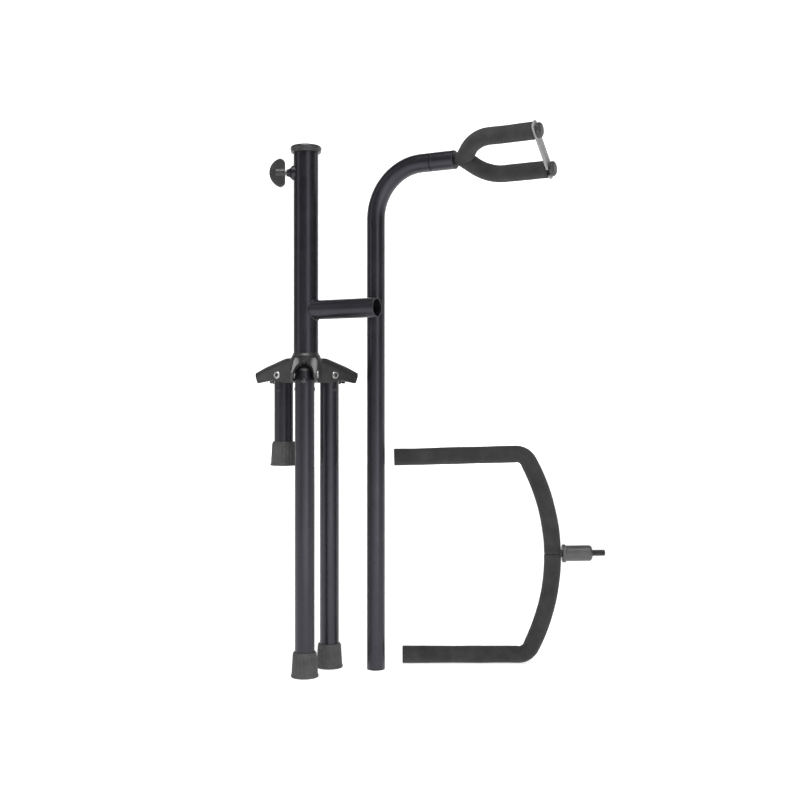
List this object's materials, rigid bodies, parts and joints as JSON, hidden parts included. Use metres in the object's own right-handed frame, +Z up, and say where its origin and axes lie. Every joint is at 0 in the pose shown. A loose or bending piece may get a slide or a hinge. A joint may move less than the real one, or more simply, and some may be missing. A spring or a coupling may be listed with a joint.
{
  "type": "guitar stand",
  "caption": "Hanging-style guitar stand taken apart: folding tripod base, J-shaped pole with a padded neck yoke, and a padded U-shaped body cradle",
  "frame": {"origin": "bottom centre of the whole set's box, on the floor", "axes": "+Z up, +X along the row of pieces from the tripod to the cradle, +Y away from the folded front leg"},
  "size_m": [0.4998, 0.1998, 0.737],
  "materials": {
    "black_paint": "satin black powder coat with a fine orange peel",
    "foam": "matte closed-cell foam, finely pored",
    "foot_rubber": "matte moulded rubber",
    "moulded_black": "fine-textured satin moulding",
    "nylon": "plain nylon",
    "grey_plastic": "light grey satin moulding",
    "grey_sleeve": "dark grey satin moulding",
    "bright_steel": "zinc-plated steel",
    "dark_steel": "oiled black-oxide steel"
  },
  "bodies": {
    "base": {"column_tube": "black_paint", "column_bushing": "moulded_black", "clamp_boss": "black_paint", "socket_tube": "black_paint", "socket_nut": "bright_steel", "hub_collar": "moulded_black", "column_plug": "bright_steel", "hub_screw": "bright_steel", "hub_washer": "bright_steel", "leg_hub": "moulded_black", "pivot_washers": "nylon", "front_pivot_rivet": "bright_steel", "right_pivot_rivet": "bright_steel", "rear_pivot_rivet": "bright_steel"},
    "clamp_screw": {"clamp_screw": "bright_steel"},
    "clamp_knob": {"clamp_knob": "moulded_black"},
    "pole": {"pole_tube": "black_paint", "swivel_pin": "bright_steel"},
    "yoke": {"yoke_stem": "black_paint", "yoke_fork": "black_paint", "near_yoke_foam": "foam", "far_yoke_foam": "foam", "near_yoke_cap": "moulded_black", "far_yoke_cap": "moulded_black"},
    "gate": {"gate_bar": "grey_plastic"},
    "cradle": {"cradle_rod": "black_paint", "upper_cradle_foam": "foam", "lower_cradle_foam": "foam", "upper_rod_cap": "moulded_black", "lower_rod_cap": "moulded_black", "plug_sleeve": "grey_sleeve", "plug_stud": "dark_steel"},
    "front_leg": {"front_leg_tube": "black_paint", "front_leg_insert": "moulded_black", "front_insert_rivet": "black_paint", "front_foot": "foot_rubber", "front_button_spring": "bright_steel"},
    "front_button": {"front_snap_button": "moulded_black"},
    "right_leg": {"right_leg_tube": "black_paint", "right_leg_insert": "moulded_black", "right_insert_rivet": "black_paint", "right_foot": "foot_rubber", "right_button_spring": "bright_steel"},
    "right_button": {"right_snap_button": "moulded_black"},
    "rear_leg": {"rear_leg_tube": "black_paint", "rear_leg_insert": "moulded_black", "rear_insert_rivet": "black_paint", "rear_foot": "foot_rubber", "rear_button_spring": "bright_steel"},
    "rear_button": {"rear_snap_button": "moulded_black"}
  },
  "joints": [
    {"name": "front_leg_fold", "type": "hinge", "parent": "base", "child": "front_leg", "pos_m": [-0.17505, 0.00566, 0.413], "axis": [-0.9994, -0.0349, 0], "range_deg": [0, 70]},
    {"name": "front_button_press", "type": "slide", "parent": "front_leg", "child": "front_button", "axis": [-0.0349, 0.9994, 0], "range_m": [0, 0.0045], "stiffness_N_per_m": 400, "springref_m": -0.004},
    {"name": "right_leg_fold", "type": "hinge", "parent": "base", "child": "right_leg", "pos_m": [-0.1448, 0.06255, 0.413], "axis": [0.5299, -0.848, 0], "range_deg": [0, 70]},
    {"name": "right_button_press", "type": "slide", "parent": "right_leg", "child": "right_button", "axis": [-0.848, -0.5299, 0], "range_m": [0, 0.0045], "stiffness_N_per_m": 400, "springref_m": -0.004},
    {"name": "rear_leg_fold", "type": "hinge", "parent": "base", "child": "rear_leg", "pos_m": [-0.20919, 0.0603, 0.413], "axis": [0.4695, 0.8829, 0], "range_deg": [0, 70]},
    {"name": "rear_button_press", "type": "slide", "parent": "rear_leg", "child": "rear_button", "axis": [0.8829, -0.4695, 0], "range_m": [0, 0.0045], "stiffness_N_per_m": 400, "springref_m": -0.004},
    {"name": "clamp_travel", "type": "slide", "parent": "base", "child": "clamp_screw", "axis": [-1, 0, 0], "range_m": [0, 0.004]},
    {"name": "knob_turn", "type": "hinge", "parent": "clamp_screw", "child": "clamp_knob", "pos_m": [-0.20635, 0.04284, 0.6958], "axis": [-1, 0, 0], "range_deg": [0, 1440]},
    {"name": "pole_lift", "type": "slide", "parent": "base", "child": "pole", "axis": [0, 0, 1], "range_m": [0, 0.25]},
    {"name": "yoke_swivel", "type": "hinge", "parent": "pole", "child": "yoke", "pos_m": [-0.00095, 0.00953, 0.7041], "axis": [0.8829, -0.4695, 0], "range_deg": [-50, 130]},
    {"name": "gate_swing", "type": "hinge", "parent": "yoke", "child": "gate", "pos_m": [0.12977, -0.08757, 0.72454], "axis": [0.8829, -0.4695, 0], "range_deg": [0, 110]},
    {"name": "cradle_lift", "type": "slide", "parent": "base", "child": "cradle", "axis": [0, 0, 1], "range_m": [0, 0.2]}
  ],
  "couplings": [
    {"joint": "clamp_travel", "follows": "knob_turn", "m_per_rad": 0.00015915}
  ]
}
